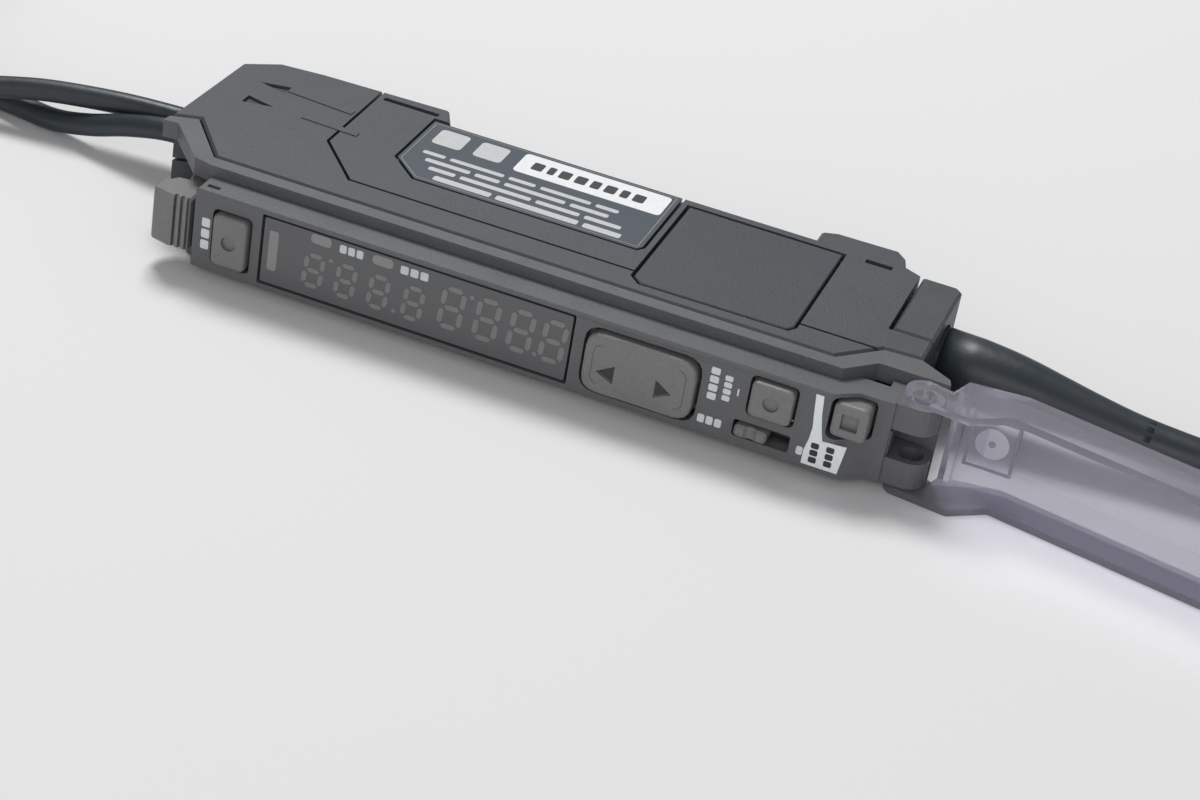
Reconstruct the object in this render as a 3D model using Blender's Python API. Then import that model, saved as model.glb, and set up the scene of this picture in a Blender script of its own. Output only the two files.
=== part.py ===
"""Fibre optic sensor amplifier for a DIN rail, lying on its wide side with its dust cover open.

The sizes below are millimetres in the amplifier's own frame: X runs along the panel from the fibre
end to the cable end, Y from the panel face to the DIN-rail side, Z through the thickness. The empty
that carries every piece shifts that frame, so the world's origin is under the middle of the rail slot.
"""
import math

import bmesh
import bpy
from mathutils import Matrix, Vector

MM = 0.001

# Housing
THICKNESS = 9.8
WALL = 1.2
EDGE = 0.25
SEAM = 0.3
FIT = 0.3
SLIDE_FIT = 0.25
CASE_FRONT = 4.45
STRIP_BACK = 7.7
SLOT_FLOOR = 23.4
HOOK_DEPTH = 2.7
FIBRE_END = -7.5
END_LEAN = 0.4
BLOCK_END = 6.1
SLOT_LEFT = 14.2
SLOT_WIDTH = 36.1
SLOT_RIGHT = SLOT_LEFT + SLOT_WIDTH
END_BLOCK = 14.1
CABLE_END = SLOT_RIGHT + END_BLOCK
CLAW_LENGTH = 8.1
LIP_REACH = 1.3
LIP_GAP = 1.25
LIP_INSET = 2.0
LIP_ROOT = 1.5
LIP_SLOPE = 0.8

# Panel
PANEL_LENGTH = CABLE_END - SEAM
PANEL_STEP = 1.0
PANEL_WALL = 1.2
PANEL_SIDE = 0.65
PANEL_EDGE = 0.15
LEDGE_FRONT = 2.9
LEDGE_BACK = 5.6
LEDGE_BEND = PANEL_LENGTH - 5.25
LEDGE_SLOPE = 2.45
FALL_TOP = PANEL_LENGTH - 5.5
FALL_BOTTOM = PANEL_LENGTH - 2.9
FALL_RUN = 2.1
FALL_DEPTH = 1.6

# Dust cover and its hinge
HINGE = (PANEL_LENGTH + 1.9, 3.55)
LUG_RADIUS = 1.7
LUG_WIDTH = 2.5
ARM_RADIUS = 1.75
PIVOT_RADIUS = 0.8
COVER_WALL = 0.7
COVER_FLOOR = 0.8
COVER_LENGTH = PANEL_LENGTH + 2.0
COVER_MOUTH = 1.54
COVER_DEPTH = 4.1
COVER_OPEN_ANGLE = -10.55
ARM_END = 4.7
ARM_DROP = 1.3
TAPER_START = 2.15
TAPER_END = 7.0
TAPER_FALL = 1.55
STUB_LENGTH = LUG_WIDTH * 0.7
NUB_SPAN = (COVER_LENGTH - 1.45, COVER_LENGTH - 0.85)
NUB_ROWS = (HINGE[1] - 1.3, HINGE[1] - 0.9)
NUB_HEIGHT = 0.15
PAD_WIDTH = 5.2

# Display
WINDOW = (6.5, PANEL_LENGTH - 28.0, 1.5, 8.4)
WINDOW_GROOVE = 0.25
WINDOW_SINK = 0.08
WINDOW_FLANGE = 0.6
FLANGE_THICKNESS = 0.5

# Keys: left, right, bottom and top on the panel, corner radius, how far the face stands out
SET_KEY = (2.05, 5.4, 2.15, 7.2)
MODE_KEY = (PANEL_LENGTH - 11.85, PANEL_LENGTH - 8.05, 4.6, 8.05)
PRESET_KEY = (PANEL_LENGTH - 4.8, PANEL_LENGTH - 1.65, 4.9, 8.2)
ROCKER = (PANEL_LENGTH - 26.7, PANEL_LENGTH - 16.6, 1.95, 7.75)
KEY_CORNER = 0.6
ROCKER_CORNER = 1.6
KEY_PROUD = 0.6
PRESET_PROUD = -0.05
KEY_EDGE = 0.3
KEY_TRAVEL = 0.3
KEY_EAR = 0.4
KEY_EAR_DEPTH = 0.5
KEY_DIMPLE = 0.72
PRESET_RECESS = 1.5
RECESS_DEPTH = 0.3
ROCKER_SAG = 0.25
SLIDE_SLOT = (PANEL_LENGTH - 12.9, PANEL_LENGTH - 7.8, 1.95, 3.6)
KNOB_LENGTH = 2.9
KNOB_PROUD = 0.5

# Boards and switches
BOARD_FRONT = 5.2
BOARD_THICKNESS = 1.0
BOARD_LEFT = 1.4
BOARD_RIGHT = PANEL_LENGTH - 7.1
SWITCH_SIZE = 3.0
PLUNGER_RADIUS = 0.6

# Fibre end
FIBRE_DIAMETER = 2.2
FIBRE_PITCH = 2.6
FIBRE_MIDDLE = 16.5
HOLDER_LENGTH = 10.2
HOLDER_WIDTH = 7.6
HOLDER_NOSE = 6.6
LENS_SIZE = 2.1
LENS_REACH = 0.5
SENSOR_DEPTH = 2.4
SENSOR_CLEARANCE = 0.8
LEVER_PIVOT = (-1.6, 8.2)
LEVER_WIDTH = 5.2
LEVER_BOSS = 1.9
LEVER_TIP = -4.3
LEVER_TAB_DEPTH = 3.2
LEVER_TAB_LENGTH = 3.9
PIN_RADIUS = 0.8

# Label side
LABEL = (SLOT_LEFT - 1.5, SLOT_RIGHT - 12.9, 11.7, 23.15)
LABEL_CORNER = 2.9
LABEL_RECESS = 0.5
LABEL_THICKNESS = 0.2
PLATE = (SLOT_RIGHT - 11.8, SLOT_RIGHT + 2.9, 6.15, 22.0)
PLATE_CORNER = 0.9
PLATE_THICKNESS = 0.45
PLATE_RECESS = PLATE_THICKNESS + FIT
CAP_FRONT = 12.0
CAP_LENGTH = 3.75
CAP_BACK = 22.6

# Cords
CABLE_DIAMETER = 4.2
CABLE_Y = 17.4
GLAND_WALL = 0.8
GLAND_LENGTH = 6.0
GLAND_COLLAR = 0.2
TIE_WIDTH = 3.0
TIE_THICKNESS = 0.6
TIE_CORNER = 0.5
HANK_BASE = TIE_THICKNESS + FIT
HANK_LANES = 2
HANK_FOLD = 3.0
HANK_EDGE = 0.3
CABLE_HANK = (CABLE_END + 81.5, CABLE_Y - 4.5)
CABLE_HANK_RUN = 9 * CABLE_DIAMETER
CABLE_HANK_ROWS = 6
CABLE_TAIL = (20.0, 27.0)
CABLE_TAIL_ASIDE = 8.0
CORE_DIAMETER = 1.1
CORE_LENGTH = 17.0
CORE_SPARE = 0.2
CORE_PLACES = ((-1, -1), (1, -1), (-1, 1), (1, 1))
CORE_FAN = (-5.2, -2.2, -3.7, -0.6)
FIBRE_HANK_X = FIBRE_END - 42.4
FIBRE_HANK_MIDDLE = 13.8
FIBRE_HANK_RUN = 12 * FIBRE_DIAMETER
FIBRE_HANK_ROWS = 5
HEAD_LENGTH = 16.0
HEAD_RADIUS = 2.0
HEAD_START = 13.6
HEAD_ASIDE = 1.6
NUT_RADIUS = 3.4
NUT_LENGTH = 3.0
NUT_PLACE = 0.45

MIDDLE = THICKNESS / 2
PANEL_LOW = PANEL_STEP
PANEL_HIGH = THICKNESS - PANEL_STEP
ORIGIN = (SLOT_LEFT + SLOT_WIDTH / 2, 15.0)


def clear_scene():
    for item in list(bpy.data.objects):
        bpy.data.objects.remove(item, do_unlink=True)


def material(name, colour, roughness, metallic=0.0, transmission=0.0):
    """One Principled material, found again by name."""
    if name in bpy.data.materials:
        return bpy.data.materials[name]
    made = bpy.data.materials.new(name)
    made.use_nodes = True
    shader = made.node_tree.nodes["Principled BSDF"]
    shader.inputs["Base Color"].default_value = (*colour, 1.0)
    shader.inputs["Roughness"].default_value = roughness
    shader.inputs["Metallic"].default_value = metallic
    shader.inputs["Transmission Weight"].default_value = transmission
    return made


def shell_plastic():
    return material("charcoal_plastic", (0.075, 0.082, 0.085), 0.5)


def key_plastic():
    return material("grey_key_plastic", (0.2, 0.2, 0.2), 0.45)


def smoke_plastic():
    return material("smoke_plastic", (0.35, 0.34, 0.4), 0.15, transmission=0.8)


def smoked_window():
    return material("smoked_window", (0.06, 0.065, 0.07), 0.25)


def board_laminate():
    return material("board_laminate", (0.03, 0.2, 0.1), 0.5)


def switch_metal():
    return material("switch_metal", (0.6, 0.6, 0.6), 0.35, 1.0)


def cord_jacket():
    return material("cord_jacket", (0.03, 0.04, 0.045), 0.5)


def label_film():
    return material("label_film", (0.1, 0.12, 0.15), 0.4)


def place(u, v, level, axis):
    """A point of an outline (u, v), at a level along the axis that the outline is extruded on."""
    if axis == "Z":
        return Vector((u, v, level)) * MM
    if axis == "Y":
        return Vector((u, level, v)) * MM
    return Vector((level, u, v)) * MM


def signed_area(outline):
    return sum(a[0] * b[1] - b[0] * a[1] for a, b in zip(outline, outline[1:] + outline[:1])) / 2


def inset(outline, distance):
    """The outline moved inwards by one distance, corner by corner."""
    if distance == 0:
        return list(outline)
    side = 1 if signed_area(outline) > 0 else -1
    moved = []
    for i, corner in enumerate(outline):
        before = Vector(corner) - Vector(outline[i - 1])
        after = Vector(outline[(i + 1) % len(outline)]) - Vector(corner)
        n1 = Vector((-before.y, before.x)).normalized() * side
        n2 = Vector((-after.y, after.x)).normalized() * side
        shift = (n1 + n2) * (distance / (1 + n1.dot(n2)))
        moved.append((corner[0] + shift.x, corner[1] + shift.y))
    return moved


def rounded(outline, radius, steps=4):
    """The outline with each corner turned into an arc of about that radius."""
    points = []
    for i, corner in enumerate(outline):
        corner = Vector(corner)
        before = Vector(outline[i - 1]) - corner
        after = Vector(outline[(i + 1) % len(outline)]) - corner
        half = before.angle(after) / 2
        reach = min(radius / math.tan(half), before.length * 0.49, after.length * 0.49)
        start, end = corner + before.normalized() * reach, corner + after.normalized() * reach
        for k in range(steps + 1):
            t = k / steps
            point = start * (1 - t) ** 2 + corner * (2 * t * (1 - t)) + end * t ** 2
            points.append((point.x, point.y))
    return points


def rectangle(left, right, low, high):
    return [(left, low), (right, low), (right, high), (left, high)]


def arc(centre, radius, start, end, steps):
    """Points on a circle, from one angle to another, in degrees."""
    turns = [math.radians(start + (end - start) * k / steps) for k in range(steps + 1)]
    return [(centre[0] + radius * math.cos(t), centre[1] + radius * math.sin(t)) for t in turns]


def finish_mesh(name, bm):
    bmesh.ops.recalc_face_normals(bm, faces=bm.faces)
    mesh = bpy.data.meshes.new(name)
    bm.to_mesh(mesh)
    bm.free()
    made = bpy.data.objects.new(name, mesh)
    bpy.context.scene.collection.objects.link(made)
    return made


def loft(name, rings):
    """A closed solid through rings of equally many points."""
    bm = bmesh.new()
    loops = [[bm.verts.new(point) for point in ring] for ring in rings]
    for lower, upper in zip(loops, loops[1:]):
        for i, corner in enumerate(lower):
            j = (i + 1) % len(lower)
            bm.faces.new((corner, lower[j], upper[j], upper[i]))
    bm.faces.new(list(reversed(loops[0])))
    bm.faces.new(loops[-1])
    return finish_mesh(name, bm)


def stack(name, outline, layers, axis="Z"):
    """A solid from one outline, with an inset and a level for each layer."""
    return loft(name, [[place(u, v, level, axis) for u, v in inset(outline, by)] for by, level in layers])


def prism(name, outline, low, high, axis="Z"):
    return stack(name, outline, [(0, low), (0, high)], axis)


def box(name, x, y, z):
    return prism(name, rectangle(*x, *y), *z)


def rod(name, centre, radius, low, high, axis="Z", sides=20):
    return prism(name, arc(centre, radius, 0, 360 * (sides - 1) / sides, sides - 1), low, high, axis)


def combine(target, others, operation):
    """Cut the others out of the target, or fuse them to it, and take them away."""
    for other in others:
        step = target.modifiers.new("step", "BOOLEAN")
        step.operation = operation
        step.solver = "EXACT"
        step.object = other
        result = bpy.data.meshes.new_from_object(target.evaluated_get(bpy.context.evaluated_depsgraph_get()))
        target.modifiers.clear()
        target.data = result
        bpy.data.objects.remove(other, do_unlink=True)
    return target


def cut(target, *others):
    return combine(target, others, "DIFFERENCE")


def fuse(target, *others):
    return combine(target, others, "UNION")


def settle(made, look, frame, pivot=(0, 0, 0)):
    """Give a finished piece its material, its pivot and its place under the frame."""
    made.data.transform(Matrix.Translation(-Vector(pivot) * MM))
    made.data.materials.clear()
    made.data.materials.append(look)
    made.data.shade_smooth()
    made.data.set_sharp_from_angle(angle=math.radians(35))
    made.parent = frame
    made.location = Vector(pivot) * MM
    return made


def case_outline():
    """The whole case seen on its label side, from the panel seam round by the rail side."""
    front = CASE_FRONT + SEAM / 2
    hook = SLOT_FLOOR + HOOK_DEPTH
    claw_end = SLOT_RIGHT + CLAW_LENGTH
    return [
        (-0.55, front), (LEDGE_BEND - 1.3, front), (LEDGE_BEND + 2.1, front + 3.7),
        (CABLE_END, front + 3.95), (CABLE_END, CAP_BACK),
        (claw_end + 2.3, CAP_BACK), (claw_end + 0.4, SLOT_FLOOR + 0.1), (claw_end - 0.1, hook - 1.0),
        (claw_end - 0.9, hook - 0.15), (SLOT_RIGHT + 1.4, hook - 0.3), (SLOT_RIGHT, hook - 0.9),
        (SLOT_RIGHT, SLOT_FLOOR), (SLOT_LEFT, SLOT_FLOOR), (SLOT_LEFT - 1.3, hook),
        (0.2, hook - 0.5), (-4.1, hook - 1.0), (FIBRE_END + END_LEAN, hook - 3.2),
        (FIBRE_END, 9.4), (-5.0, 10.4),
    ]


def split_outline():
    """The region of the front case: the fibre block and the strip behind the panel."""
    far = 40.0
    corner = 13.4
    return [
        (-far, -far), (LEDGE_BEND + 2.4, -far), (LEDGE_BEND + 2.4, STRIP_BACK),
        (BLOCK_END + 4.8, STRIP_BACK), (BLOCK_END, corner), (BLOCK_END, far), (-far, far),
    ]


def case_half(name, upper):
    """One moulded half of the whole case: a chamfered skin with its outer walls."""
    outline = case_outline()
    skin, split = (THICKNESS, MIDDLE + SEAM / 2) if upper else (0.0, MIDDLE - SEAM / 2)
    inward = -1 if upper else 1
    half = stack(name, outline, [(0, split), (0, skin + inward * EDGE), (EDGE, skin)])
    room = (skin + inward * WALL, MIDDLE + inward * WALL)
    doorway = box("doorway", (BOARD_LEFT - FIT, BOARD_RIGHT + FIT), (CASE_FRONT - 1, STRIP_BACK), room)
    hollow = prism("hollow", inset(outline, WALL), *room)
    lips = [lip(side, split, skin + inward * LIP_INSET) for side in ("left", "right")]
    return fuse(cut(half, doorway, hollow), *lips)


def lip(side, split, end):
    """The part of a rail hook that reaches over the rail's edge."""
    hook = SLOT_FLOOR + HOOK_DEPTH
    under = SLOT_FLOOR + LIP_GAP
    if side == "left":
        root, tip = SLOT_LEFT - LIP_ROOT, SLOT_LEFT + LIP_REACH
    else:
        root, tip = SLOT_RIGHT + LIP_ROOT, SLOT_RIGHT - LIP_REACH
    outline = [(root, under), (tip, under), (tip, hook - LIP_SLOPE), (root, hook - FIT)]
    return prism("lip", outline, split, end)


def lever_room():
    """The room at the corner of the fibre block in which the lock lever swings."""
    outline = [(-12, 1.0), (-0.1, 1.0), (-0.1, 4.0), (0.9, 5.0), (0.9, 10.4), (-5.4, 10.9), (-12, 8.6)]
    return prism("lever_room", outline, MIDDLE - LEVER_WIDTH / 2 - 0.6, MIDDLE + LEVER_WIDTH / 2 + 0.6)


def build_cases(frame):
    far = prism("front_region", split_outline(), -5, THICKNESS + 5)
    for upper, ending in ((True, "upper"), (False, "lower")):
        front = case_half("front_case_" + ending, upper)
        rear = case_half("rear_case_" + ending, upper)
        region = far.copy()
        region.data = far.data.copy()
        bpy.context.scene.collection.objects.link(region)
        combine(front, [region], "INTERSECT")
        cut(rear, prism("front_region", inset(split_outline(), -SEAM), -5, THICKNESS + 5))
        cut(front, lever_room(), pin_hole(), holder_window())
        cut(rear, cap_room())
        if upper:
            cut(front, *arrow_marks())
            cut(front, plate_room())
            cut(rear, plate_room(), label_room(), *hook_slots())
        settle(front, shell_plastic(), frame)
        settle(rear, shell_plastic(), frame)
    bpy.data.objects.remove(far, do_unlink=True)


def pin_hole():
    return rod("pin_hole", LEVER_PIVOT, PIN_RADIUS + FIT, WALL - 0.7, THICKNESS - WALL + 0.7)


def holder_window():
    half = HOLDER_NOSE / 2 + FIT
    return box("holder_window", (FIBRE_END - 1, FIBRE_END + WALL + 1),
               (FIBRE_MIDDLE - half, FIBRE_MIDDLE + half), (MIDDLE - 2.4 - FIT, MIDDLE + 2.4 + FIT))


def cap_room():
    return box("cap_room", (CABLE_END - CAP_LENGTH - SEAM, CABLE_END + 5), (CAP_FRONT - SEAM, CAP_BACK + 5),
               (-5, THICKNESS + 5))


def arrow_marks():
    """Two sunk arrowheads that show which fibre bore sends and which receives."""
    marks = []
    for tip_x, y, way in ((-4.0, 20.3, 1), (-0.7, 16.4, -1)):
        outline = [(tip_x, y), (tip_x + way * 2.9, y - 0.75), (tip_x + way * 2.9, y + 0.75)]
        marks.append(prism("arrow", outline, THICKNESS - RECESS_DEPTH, THICKNESS + 1))
    return marks


def hook_slots():
    """The two sunk slots beside the rail hooks."""
    depth = (THICKNESS - 0.8, THICKNESS + 1)
    left = box("slot", (BLOCK_END + 0.8, SLOT_LEFT - 1.7), (SLOT_FLOOR + 0.7, SLOT_FLOOR + 1.35), depth)
    right = box("slot", (SLOT_RIGHT + 5.0, SLOT_RIGHT + CLAW_LENGTH - 0.6),
                (SLOT_FLOOR - 1.5, SLOT_FLOOR - 0.8), depth)
    return [left, right]


def label_outline():
    left, right, low, high = LABEL
    return [(left + LABEL_CORNER, low), (right - 0.4, low), (right, low + 0.6), (right, high), (left, high),
            (left, low + LABEL_CORNER)]


def label_room():
    """The label's recess, which runs out at the rail slot."""
    outline = [(x, SLOT_FLOOR + FIT if y > LABEL[3] else y) for x, y in inset(label_outline(), -FIT)]
    return prism("label_room", outline, THICKNESS - LABEL_RECESS, THICKNESS + 1)


def plate_outline():
    left, right, low, high = PLATE
    return [(left, low + PLATE_CORNER), (left + PLATE_CORNER, low), (right - PLATE_CORNER / 2, low + 0.2),
            (right, low + PLATE_CORNER), (right, high), (left, high)]


def plate_room():
    return prism("plate_room", inset(plate_outline(), -FIT), THICKNESS - PLATE_RECESS, THICKNESS + 1)


def build_label_side(frame):
    label_top = THICKNESS - LABEL_RECESS + FIT + LABEL_THICKNESS
    label = prism("rating_label", label_outline(), label_top - LABEL_THICKNESS, label_top)
    settle(label, label_film(), frame)
    plate = stack("side_cover_plate", plate_outline(), [
        (0, THICKNESS - PLATE_THICKNESS), (0, THICKNESS - 0.1), (0.1, THICKNESS)])
    settle(plate, shell_plastic(), frame)


def build_cable_end(frame):
    """The moulded cap at the cable end and the rubber gland in it."""
    left = CABLE_END - CAP_LENGTH
    outline = [(left, CAP_FRONT), (CABLE_END, CAP_FRONT), (CABLE_END, CAP_BACK - 0.5),
               (CABLE_END - 0.5, CAP_BACK), (left, CAP_BACK)]
    cap = stack("cable_end_cap", outline, [(EDGE, 0), (0, EDGE), (0, THICKNESS - EDGE), (EDGE, THICKNESS)])
    cut(cap, box("hollow", (left - 1, CABLE_END - WALL), (CAP_FRONT + WALL, CAP_BACK - WALL),
                 (WALL, THICKNESS - WALL)))
    sleeve = CABLE_DIAMETER / 2 + FIT + GLAND_WALL
    cut(cap, rod("gland_hole", (CABLE_Y, MIDDLE), sleeve + FIT, left, CABLE_END + 1, "X"))
    settle(cap, shell_plastic(), frame)
    gland_start = CABLE_END - WALL - 1.6
    gland = rod("cable_gland", (CABLE_Y, MIDDLE), sleeve, gland_start, gland_start + GLAND_LENGTH, "X", 24)
    collar = sleeve + GLAND_COLLAR
    fuse(gland, rod("collar", (CABLE_Y, MIDDLE), collar, gland_start, gland_start + 1.3, "X", 24))
    cut(gland, rod("bore", (CABLE_Y, MIDDLE), CABLE_DIAMETER / 2 + FIT, gland_start - 1,
                   gland_start + GLAND_LENGTH + 1, "X", 24))
    settle(gland, cord_jacket(), frame)


def ledge_outline():
    """The ledge along the panel's sides, with the nose round the fibre block's corner."""
    back = CASE_FRONT - SEAM / 2
    bend = LEDGE_BEND + LEDGE_SLOPE
    return [
        (-0.2, LEDGE_FRONT), (LEDGE_BEND, LEDGE_FRONT), (bend, LEDGE_BACK), (HINGE[0] + 1.6, LEDGE_BACK),
        (HINGE[0] + 1.3, LEDGE_BACK + 0.9), (CABLE_END, back + 3.95), (LEDGE_BEND + 2.22, back + 3.68),
        (LEDGE_BEND - 1.18, back), (-0.6, back), (-5.05, back + 5.7), (FIBRE_END, back + 4.7),
        (FIBRE_END - 0.1, back + 3.7), (-6.2, back + 3.9), (-2.0, LEDGE_FRONT + 0.45),
    ]


def lug(low, high):
    round_end = arc(HINGE, LUG_RADIUS, -90, 90, 10)
    root = PANEL_LENGTH - 1.2
    outline = [(root, HINGE[1] - LUG_RADIUS)] + round_end + [(root, HINGE[1] + LUG_RADIUS)]
    return prism("lug", outline, low, high)


def fall_cutter():
    """The slanted slope by which the panel's face falls back near the hinge."""
    rings = []
    for level, start in ((PANEL_LOW - 1, FALL_BOTTOM), (PANEL_HIGH + 1, FALL_TOP)):
        end = start + FALL_RUN
        far = PANEL_LENGTH + 3
        outline = [(start, 0), (start, -3), (far, -3), (far, FALL_DEPTH), (end, FALL_DEPTH)]
        rings.append([place(x, y, level, "Z") for x, y in outline])
    return loft("fall", rings)


def key_hole(key, corner, clearance, low=-2.0, high=PANEL_WALL + 2.0):
    outline = rounded(inset(rectangle(*key), -clearance), corner)
    return prism("key_hole", outline, low, high, "Y")


def build_panel(frame):
    """The moulded panel: face, side ledges, hinge lugs and the holes for window and keys."""
    back = CASE_FRONT - SEAM / 2
    outline = [(0, 0), (PANEL_LENGTH, 0), (PANEL_LENGTH, back), (0, back)]
    panel = stack("panel_frame", outline, [
        (PANEL_EDGE, PANEL_LOW), (0, PANEL_LOW + PANEL_EDGE),
        (0, PANEL_HIGH - PANEL_EDGE), (PANEL_EDGE, PANEL_HIGH)])
    fuse(panel, prism("ledge", ledge_outline(), 0, THICKNESS))
    cut(panel, fall_cutter(), lever_room())
    fuse(panel, lug(PANEL_LOW, PANEL_LOW + LUG_WIDTH), lug(PANEL_HIGH - LUG_WIDTH, PANEL_HIGH))
    cut(panel, rod("hinge_bore", HINGE, PIVOT_RADIUS + FIT, PANEL_LOW - 2, PANEL_HIGH + 2))
    inner = (PANEL_LOW + PANEL_SIDE, PANEL_HIGH - PANEL_SIDE)
    fall = FALL_DEPTH + PANEL_WALL
    cut(panel, box("cavity", (WALL, FALL_TOP - WALL), (PANEL_WALL, 12), inner))
    cut(panel, box("cavity", (FALL_TOP - WALL - 0.1, PANEL_LENGTH - PANEL_SIDE), (fall, 12), inner))
    cut(panel, key_hole(WINDOW, 0.2, 0), key_hole(SET_KEY, KEY_CORNER, SLIDE_FIT),
        key_hole(MODE_KEY, KEY_CORNER, SLIDE_FIT), key_hole(PRESET_KEY, KEY_CORNER, SLIDE_FIT, -2, fall + 2),
        key_hole(ROCKER, ROCKER_CORNER, FIT), key_hole(SLIDE_SLOT, 0.3, 0))
    cut(panel, *latch_notches())
    settle(panel, shell_plastic(), frame)


def latch_notches():
    """The slots on the panel's sides that the cover's nubs snap into."""
    span, rows = (0.55, 1.75), (0.85, 1.35)
    return [box("notch", span, rows, (PANEL_HIGH - 0.35, PANEL_HIGH + 1)),
            box("notch", span, rows, (PANEL_LOW - 1, PANEL_LOW + 0.35))]


def build_display(frame):
    left, right, low, high = WINDOW
    gap = WINDOW_GROOVE
    face = rounded(rectangle(left + gap, right - gap, low + gap, high - gap), 0.2)
    flange_front = PANEL_WALL + FIT
    flange_back = flange_front + FLANGE_THICKNESS
    window = prism("display_window", face, WINDOW_SINK, flange_back, "Y")
    flange = rectangle(left - WINDOW_FLANGE, right + WINDOW_FLANGE, PANEL_LOW + PANEL_SIDE + FIT,
                       PANEL_HIGH - PANEL_SIDE - FIT)
    fuse(window, prism("flange", flange, flange_front, flange_back, "Y"))
    settle(window, smoked_window(), frame)
    body = inset(rectangle(left, right, low, high), WINDOW_FLANGE)
    module = prism("display_module", body, flange_back + FIT, BOARD_FRONT - FIT, "Y")
    settle(module, smoked_window(), frame)


def key_cap(name, key, corner, face, wall_back):
    """A key: cap with rounded edge, ears behind the panel wall and a stem to its switch."""
    left, right, low, high = key
    outline = rounded(rectangle(left, right, low, high), corner)
    ear_front = wall_back + FIT
    ear_back = ear_front + KEY_EAR_DEPTH
    layers = [(KEY_EDGE, face), (KEY_EDGE * 0.3, face + KEY_EDGE * 0.3), (0, face + KEY_EDGE), (0, ear_back)]
    cap = stack(name, outline, layers, "Y")
    ear = rectangle(left - KEY_EAR, right + KEY_EAR, low + 0.4, high - 0.4)
    return fuse(cap, prism("ear", ear, ear_front, ear_back, "Y")), ear_back


def build_switch(name, centre, front, frame):
    """A tact switch on the display board, with its plunger a travel behind the key."""
    x, z = centre
    body_front = front + FIT + KEY_TRAVEL + 0.3
    half = SWITCH_SIZE / 2
    low = max(z - half, PANEL_LOW + PANEL_SIDE + FIT)
    high = min(z + half, PANEL_HIGH - PANEL_SIDE - FIT)
    switch = prism(name, rectangle(x - half, x + half, low, high), body_front, BOARD_FRONT - FIT, "Y")
    fuse(switch, rod("plunger", (x, z), PLUNGER_RADIUS, body_front - 0.3, body_front + 0.2, "Y", 16))
    settle(switch, switch_metal(), frame)


def key_middle(key):
    return (key[0] + key[1]) / 2, (key[2] + key[3]) / 2


def build_keys(frame):
    for name, key in (("set", SET_KEY), ("mode", MODE_KEY)):
        x, z = key_middle(key)
        cap, back = key_cap(name + "_button", key, KEY_CORNER, -KEY_PROUD, PANEL_WALL)
        cut(cap, rod("dimple", (x, z), KEY_DIMPLE, -KEY_PROUD - 1, -KEY_PROUD + RECESS_DEPTH, "Y"))
        settle(cap, key_plastic(), frame, (x, 0, z))
        build_switch(name + "_switch", (x, z), back, frame)
    x, z = key_middle(PRESET_KEY)
    cap, back = key_cap("preset_button", PRESET_KEY, KEY_CORNER, -PRESET_PROUD, FALL_DEPTH + PANEL_WALL)
    half = PRESET_RECESS / 2
    cut(cap, prism("recess", rectangle(x - half, x + half, z - half, z + half), -2,
                   -PRESET_PROUD + RECESS_DEPTH + 0.2, "Y"))
    settle(cap, key_plastic(), frame, (x, 0, z))
    build_switch("preset_switch", (x - 0.7, z - 0.4), back - 0.3, frame)


def build_rocker(frame):
    """The two-way key: its face dips in the middle and carries two sunk arrowheads."""
    left, right = ROCKER[:2]
    x, z = key_middle(ROCKER)
    cap, back = key_cap("rocker_button", ROCKER, ROCKER_CORNER, -KEY_PROUD, PANEL_WALL)
    span = (right - left) * 0.32
    radius = (span ** 2 + ROCKER_SAG ** 2) / (2 * ROCKER_SAG)
    dip = rod("dip", (x, -KEY_PROUD + ROCKER_SAG - radius), radius, -2, THICKNESS + 2, "Z", 160)
    cut(cap, dip)
    for tip, way in ((left + 1.3, 1), (right - 1.9, -1)):
        mark = [(tip, z - 0.7), (tip + way * 1.6, z - 1.6), (tip + way * 1.6, z + 0.2)]
        cut(cap, prism("arrow", mark, -2, -KEY_PROUD + RECESS_DEPTH, "Y"))
    settle(cap, key_plastic(), frame, (x, PANEL_WALL, z))
    for side, ending in ((-1, "left"), (1, "right")):
        build_switch("rocker_switch_" + ending, (x + side * 3.0, z), back, frame)


def build_slide_switch(frame):
    """The slide switch: a two-lobed knob in its slot and the switch body behind it."""
    left, right, low, high = SLIDE_SLOT
    start, end = left + SLIDE_FIT, left + SLIDE_FIT + KNOB_LENGTH
    bottom, top = low + SLIDE_FIT, high - SLIDE_FIT
    z = (low + high) / 2
    stem_back = PANEL_WALL + FIT + KEY_EAR_DEPTH
    knob = stack("slide_switch_knob", rounded(rectangle(start, end, bottom, top), 0.4),
                 [(0.2, -KNOB_PROUD), (0, -KNOB_PROUD + 0.2), (0, stem_back)], "Y")
    cut(knob, rod("waist", ((start + end) / 2, -KNOB_PROUD - 0.2), 0.6, low - 1, high + 1, "Z", 16))
    ear = rectangle(start + 0.2, end - 0.2, PANEL_LOW + PANEL_SIDE + FIT, top + 0.4)
    fuse(knob, prism("ear", ear, PANEL_WALL + FIT, stem_back, "Y"))
    settle(knob, key_plastic(), frame, ((start + end) / 2, 0, z))
    body = prism("slide_switch", rectangle(left, right, PANEL_LOW + PANEL_SIDE + FIT, high + 0.2),
                 stem_back + FIT, BOARD_FRONT - FIT, "Y")
    settle(body, switch_metal(), frame)


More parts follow.
